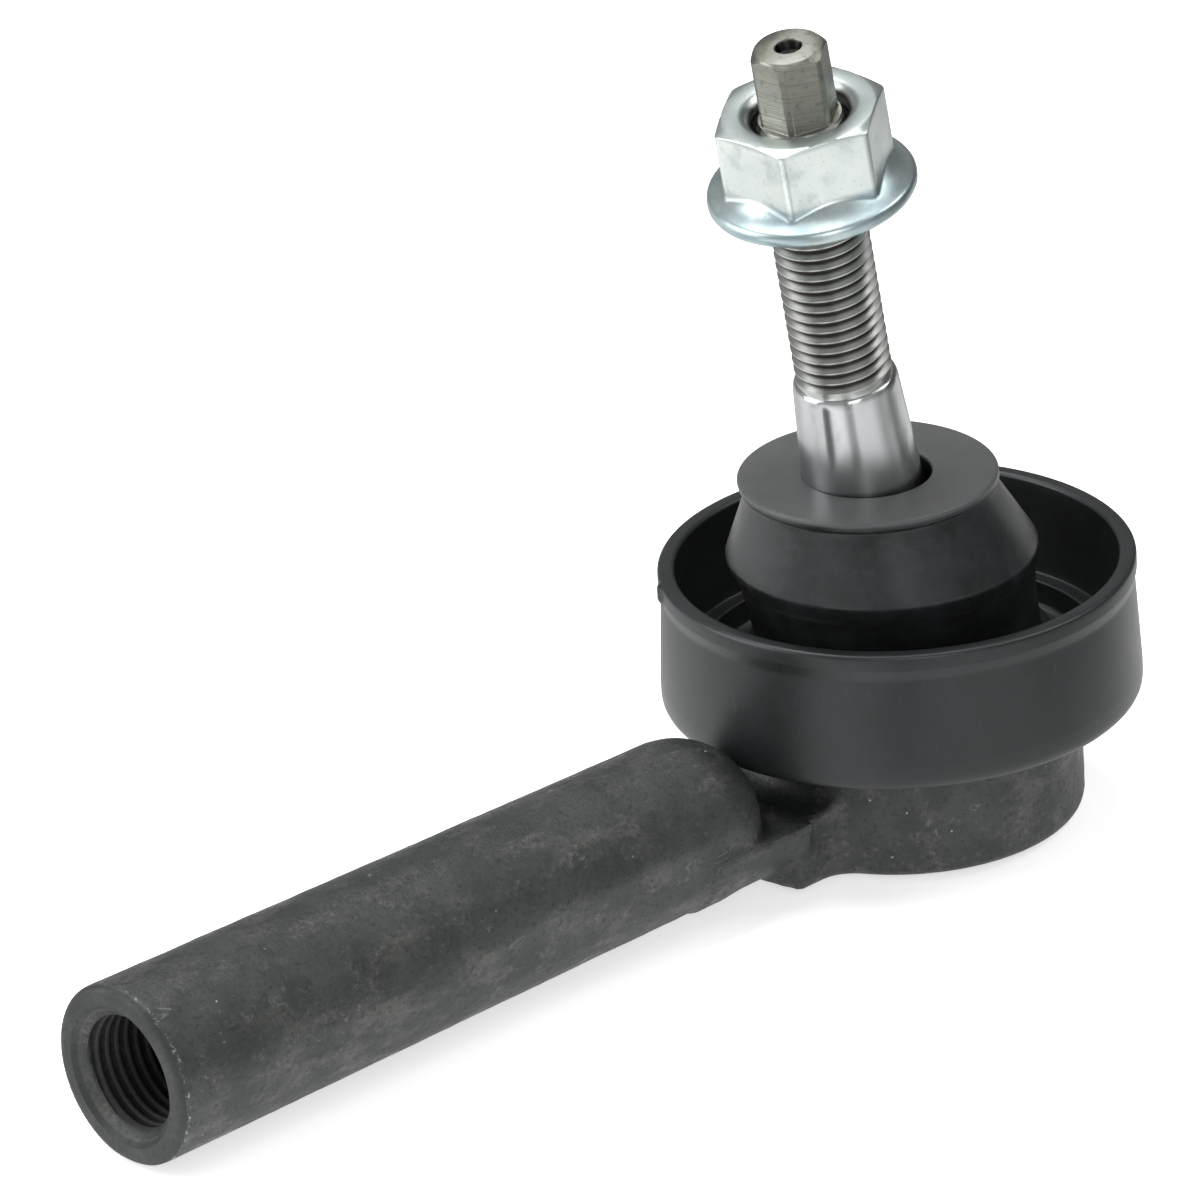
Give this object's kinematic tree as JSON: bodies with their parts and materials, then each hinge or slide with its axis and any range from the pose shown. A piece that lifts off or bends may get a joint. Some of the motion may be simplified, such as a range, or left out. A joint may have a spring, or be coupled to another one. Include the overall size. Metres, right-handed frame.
{
  "type": "tie rod end",
  "caption": "Outer tie rod end: forged arm with a female thread, ball joint with a tapered stud, flange nut, rubber boot and shield cup.",
  "frame": {"origin": "centre of the ball", "axes": "+Z along the axis of the round head, on the stud's side; -X along the arm, out of its threaded end"},
  "size_m": [0.1593, 0.0602, 0.11],
  "materials": {
    "forged_steel": "phosphated forging, rough",
    "stud_steel": "ground taper, rolled thread",
    "zinc": "bright zinc plate",
    "spring_steel": "oiled spring steel",
    "cover_steel": "dark pressed steel",
    "black_plastic": "satin moulding",
    "black_rubber": "satin rubber",
    "bearing_plastic": "natural acetal"
  },
  "bodies": {
    "root": {"housing": "forged_steel", "upper_bearing": "bearing_plastic", "preload_spring": "spring_steel", "cover_plate": "cover_steel", "cover_seal": "black_rubber", "shield_cup": "black_plastic", "boot_clip": "spring_steel"},
    "lower_bearing": {"lower_bearing": "bearing_plastic"},
    "boot": {"dust_boot": "black_rubber"},
    "boot_crown": {"boot_insert": "spring_steel"},
    "stud": {"ball_stud": "stud_steel"},
    "nut": {"flange_nut": "zinc"}
  },
  "joints": [
    {"name": "bearing_take_up", "type": "slide", "parent": "root", "child": "lower_bearing", "axis": [0, 0, 1], "range_m": [-0.0003, 0], "stiffness_N_per_m": 8000, "springref_m": 0.0005, "deforming": ["preload_spring"]},
    {"name": "rock_fore_aft", "type": "hinge", "parent": "root", "child": "boot", "pos_m": [0, 0, 0], "axis": [0, 1, 0], "range_deg": [-9.4, 30.6], "deforming": ["dust_boot"]},
    {"name": "rock_sideways", "type": "hinge", "parent": "boot", "child": "boot_crown", "pos_m": [0, 0, 0], "axis": [0.9829, 0, 0.184], "range_deg": [-22.5, 17.5], "deforming": ["dust_boot"]},
    {"name": "stud_spin", "type": "hinge", "parent": "boot_crown", "child": "stud", "pos_m": [0, 0, 0], "axis": [-0.1838, -0.0436, 0.982], "continuous": true},
    {"name": "nut_travel", "type": "slide", "parent": "stud", "child": "nut", "axis": [-0.1838, -0.0436, 0.982], "range_m": [-0.026, 0.008]}
  ]
}
